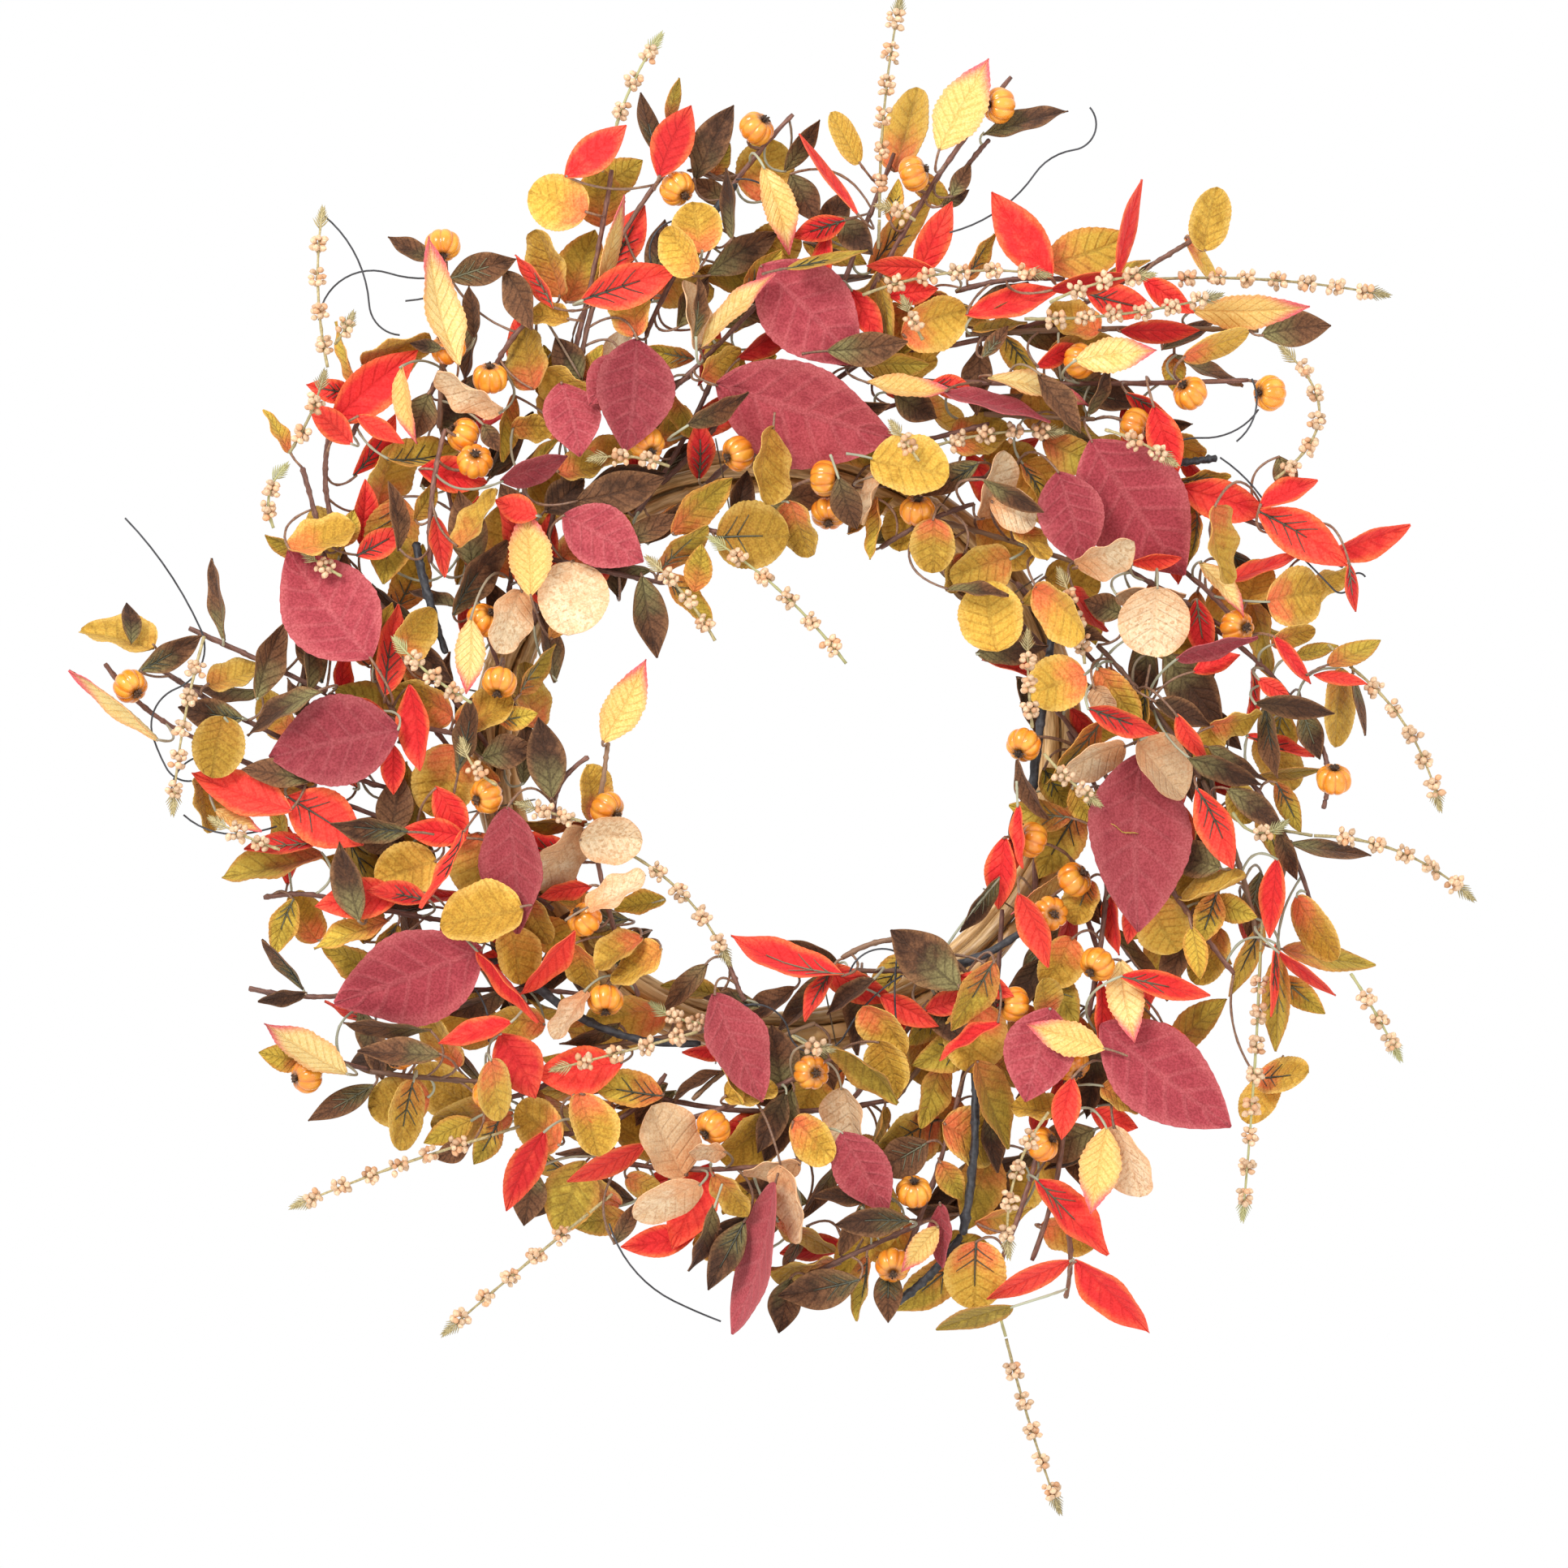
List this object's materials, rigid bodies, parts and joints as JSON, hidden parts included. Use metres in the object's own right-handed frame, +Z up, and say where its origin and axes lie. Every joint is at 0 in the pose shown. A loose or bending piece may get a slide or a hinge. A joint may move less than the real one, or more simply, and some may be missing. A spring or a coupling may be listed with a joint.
{
  "type": "harvest door wreath",
  "caption": "Autumn door wreath: a cane ring dressed with wired leaf sprays, little pumpkins, berry strands and black twigs, hung by a wire eye.",
  "frame": {"origin": "where the hook touches the inside top of the hanging eye", "axes": "+Z up along the door, -Y out of the front of the wreath towards the room, +X to the right as seen from the front"},
  "size_m": [0.7416, 0.1, 0.8004],
  "materials": {
    "cane": "satin",
    "wire": "satin",
    "leaf_burgundy": "matte",
    "leaf_cream": "matte",
    "leaf_yellow": "matte",
    "leaf_red": "matte",
    "leaf_olive_oval": "matte",
    "leaf_brown": "matte",
    "leaf_olive_pointed": "matte",
    "twig": "matte",
    "stalk": "gloss",
    "pumpkin": "gloss",
    "dry_flower": "matte",
    "black": "matte",
    "strand": "satin",
    "berry": "satin"
  },
  "bodies": {
    "wreath": {"vine_core": "cane", "vine_cane_1": "cane", "vine_cane_2": "cane", "vine_cane_3": "cane", "vine_cane_4": "cane", "vine_cane_5": "cane", "vine_cane_6": "cane", "binding_wire": "wire", "hanger_yoke": "wire", "leaves_burgundy": "leaf_burgundy", "leaves_cream": "leaf_cream", "leaves_yellow": "leaf_yellow", "leaves_red": "leaf_red", "leaves_olive_oval": "leaf_olive_oval", "leaves_brown": "leaf_brown", "leaves_olive_pointed": "leaf_olive_pointed", "twigs_right": "twig", "twigs_upper_right": "twig", "twigs_top": "twig", "twigs_upper_left": "twig", "twigs_left": "twig", "twigs_lower_left": "twig", "twigs_bottom": "twig", "twigs_lower_right": "twig", "leaf_stalks": "stalk", "pumpkins": "pumpkin", "pumpkin_flowers": "dry_flower", "pumpkin_stalks": "stalk", "black_twigs": "black", "black_tendrils": "black", "berry_stems": "strand", "berries": "berry", "strand_roots": "strand"},
    "eye": {"hanger_eye": "wire"},
    "strand_top_left": {"strand_top_left_stem": "strand", "strand_top_left_berries": "berry"},
    "strand_top": {"strand_top_stem": "strand", "strand_top_berries": "berry"},
    "strand_upper_right": {"strand_upper_right_stem": "strand", "strand_upper_right_berries": "berry"},
    "strand_right": {"strand_right_stem": "strand", "strand_right_berries": "berry"},
    "strand_lower_right": {"strand_lower_right_stem": "strand", "strand_lower_right_berries": "berry"},
    "strand_hanging": {"strand_hanging_stem": "strand", "strand_hanging_berries": "berry"},
    "strand_bottom": {"strand_bottom_stem": "strand", "strand_bottom_berries": "berry"},
    "strand_bottom_left": {"strand_bottom_left_stem": "strand", "strand_bottom_left_berries": "berry"},
    "strand_lower_left": {"strand_lower_left_stem": "strand", "strand_lower_left_berries": "berry"}
  },
  "joints": [
    {"name": "eye_swing", "type": "hinge", "parent": "wreath", "child": "eye", "pos_m": [0, 0, -0.02095], "axis": [0, 1, 0], "range_deg": [-55, 55]},
    {"name": "top_left_bend", "type": "hinge", "parent": "wreath", "child": "strand_top_left", "pos_m": [-0.088, -0.04, 0.12755], "axis": [0.945, 0, -0.3271], "range_deg": [-6, 25]},
    {"name": "top_bend", "type": "hinge", "parent": "wreath", "child": "strand_top", "pos_m": [0.054, -0.04, 0.08755], "axis": [0.9993, 0, -0.0377], "range_deg": [-6, 25]},
    {"name": "upper_right_bend", "type": "hinge", "parent": "wreath", "child": "strand_upper_right", "pos_m": [0.2, -0.04, 0.05555], "axis": [-0.0161, 0, -0.9999], "range_deg": [-6, 25]},
    {"name": "right_bend", "type": "hinge", "parent": "wreath", "child": "strand_right", "pos_m": [0.303, -0.04, -0.14945], "axis": [-0.7203, 0, -0.6936], "range_deg": [-6, 25]},
    {"name": "lower_right_bend", "type": "hinge", "parent": "wreath", "child": "strand_lower_right", "pos_m": [0.284, -0.04, -0.23945], "axis": [-0.1683, 0, -0.9857], "range_deg": [-6, 25]},
    {"name": "hanging_bend", "type": "hinge", "parent": "wreath", "child": "strand_hanging", "pos_m": [0.256, -0.04, -0.30045], "axis": [-0.9983, 0, 0.0579], "range_deg": [-6, 25]},
    {"name": "bottom_bend", "type": "hinge", "parent": "wreath", "child": "strand_bottom", "pos_m": [0.121, -0.04, -0.50545], "axis": [-0.9638, 0, -0.2666], "range_deg": [-6, 25]},
    {"name": "bottom_left_bend", "type": "hinge", "parent": "wreath", "child": "strand_bottom_left", "pos_m": [-0.1, -0.04, -0.43945], "axis": [-0.6273, 0, 0.7788], "range_deg": [-6, 25]},
    {"name": "lower_left_bend", "type": "hinge", "parent": "wreath", "child": "strand_lower_left", "pos_m": [-0.152, -0.04, -0.39845], "axis": [-0.3054, 0, 0.9522], "range_deg": [-6, 25]}
  ]
}
